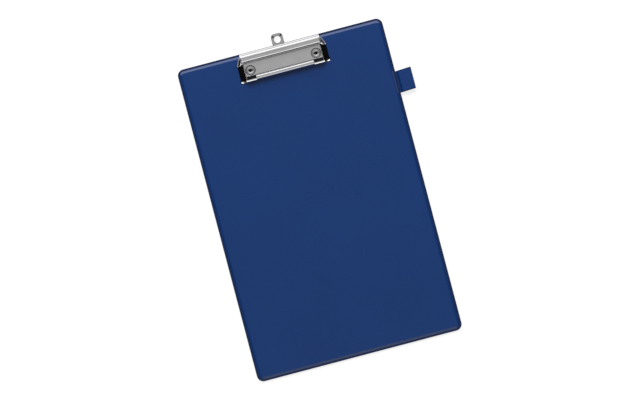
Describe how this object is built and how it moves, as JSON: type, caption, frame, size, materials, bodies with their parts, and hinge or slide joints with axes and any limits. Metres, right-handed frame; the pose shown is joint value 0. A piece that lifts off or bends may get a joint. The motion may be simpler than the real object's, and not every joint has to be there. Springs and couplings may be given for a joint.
{
  "type": "clipboard",
  "caption": "Flat film-covered clipboard with a sprung chromed clip at the top edge, a sliding hanging eye and a pen loop on the right edge.",
  "frame": {"origin": "middle of the board's flat back face", "axes": "+X to the pen loop side, +Y towards the clip, +Z out of the front face"},
  "size_m": [0.242, 0.3545, 0.013],
  "materials": {
    "blue_pvc": "fine-grained satin PVC film",
    "greyboard": "pressed grey pulp board",
    "chrome": "bright plated steel",
    "plated_plate": "satin nickel plate",
    "spring_steel": "drawn wire"
  },
  "bodies": {
    "board": {"core_board": "greyboard", "front_cover": "blue_pvc", "back_cover": "blue_pvc", "pen_loop": "blue_pvc", "clip_base": "plated_plate", "hinge_pin": "spring_steel", "left_spring": "spring_steel", "right_spring": "spring_steel", "left_rivet": "chrome", "right_rivet": "chrome"},
    "clip_jaw": {"jaw": "chrome"},
    "hanger": {"hanging_eye": "plated_plate"}
  },
  "joints": [
    {"name": "jaw_hinge", "type": "hinge", "parent": "board", "child": "clip_jaw", "pos_m": [0, 0.1655, 0.008], "axis": [-1, 0, 0], "range_deg": [0, 40], "stiffness_Nm_per_rad": 0.4, "springref_deg": -68.75, "deforming": ["left_spring", "right_spring"]},
    {"name": "hanger_slide", "type": "slide", "parent": "board", "child": "hanger", "axis": [0, 1, 0], "range_m": [-0.0115, 0]}
  ]
}
